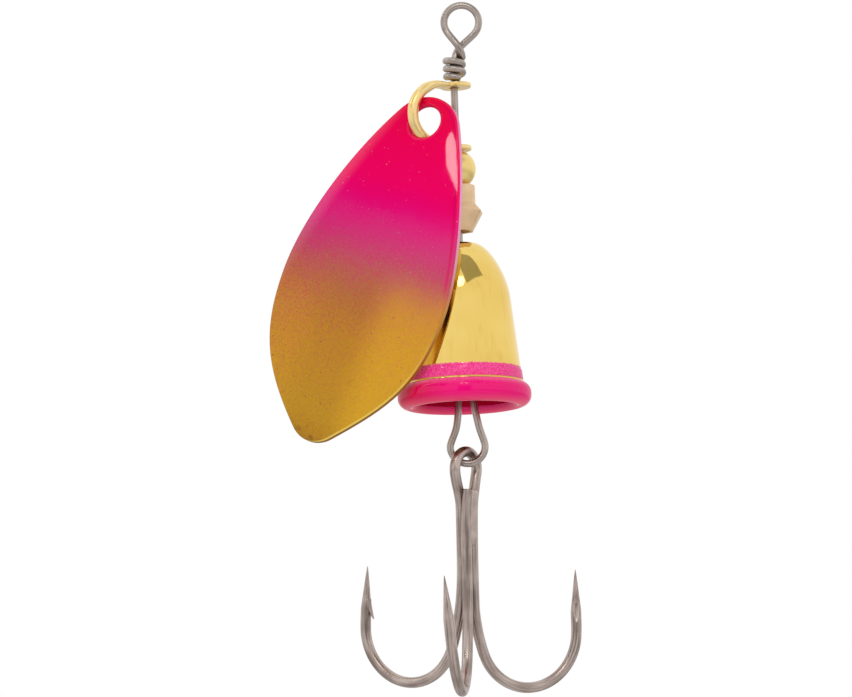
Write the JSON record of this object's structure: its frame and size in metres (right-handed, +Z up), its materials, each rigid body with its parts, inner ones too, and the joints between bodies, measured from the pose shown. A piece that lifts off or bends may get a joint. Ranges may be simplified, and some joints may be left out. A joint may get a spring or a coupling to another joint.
{
  "type": "inline spinner",
  "caption": "Bell-bodied inline spinner: wire shaft with line eye, blade on a clevis, bead, gear and bell, and a treble hook.",
  "frame": {"origin": "on the shaft's axis inside the line eye, where the line pulls", "axes": "+Z up along the shaft towards the line eye, -Y towards the side the blade hangs on, +X to the right"},
  "size_m": [0.0318, 0.021, 0.0732],
  "materials": {
    "nickel_wire": "polished nickel",
    "hook_wire": "polished black nickel",
    "solder": "satin plated",
    "brass_wire": "polished",
    "satin_brass": "satin",
    "gold_plate": "polished, pink lacquered lip",
    "blade_finish": "clear-coated pink to gold fade"
  },
  "bodies": {
    "shaft": {"shaft_wire": "nickel_wire"},
    "bead": {"bead": "brass_wire"},
    "clevis": {"clevis": "brass_wire"},
    "blade": {"blade": "blade_finish"},
    "gear": {"gear": "satin_brass"},
    "bell": {"bell": "gold_plate"},
    "treble": {"treble_double": "hook_wire", "treble_single": "hook_wire", "braze": "solder"}
  },
  "joints": [
    {"name": "stack_slide", "type": "slide", "parent": "shaft", "child": "bead", "axis": [0, 0, 1], "range_m": [-0.001, 0]},
    {"name": "clevis_spin", "type": "hinge", "parent": "bead", "child": "clevis", "pos_m": [0, 0, -0.0098], "axis": [0, 0, 1], "continuous": true},
    {"name": "blade_swing", "type": "hinge", "parent": "clevis", "child": "blade", "pos_m": [-0.00362, -0.00185, -0.01173], "axis": [-0.454, 0.891, 0], "range_deg": [0, 40]},
    {"name": "gear_spin", "type": "hinge", "parent": "bead", "child": "gear", "pos_m": [0, 0, -0.0196], "axis": [0, 0, 1], "continuous": true},
    {"name": "bell_spin", "type": "hinge", "parent": "shaft", "child": "bell", "pos_m": [0, 0, -0.0318], "axis": [0, 0, 1], "continuous": true},
    {"name": "treble_swing", "type": "hinge", "parent": "shaft", "child": "treble", "pos_m": [-0.00013, 0.00008, -0.04693], "axis": [0.7771, -0.6217, -0.0983], "range_deg": [-65, 75]}
  ]
}
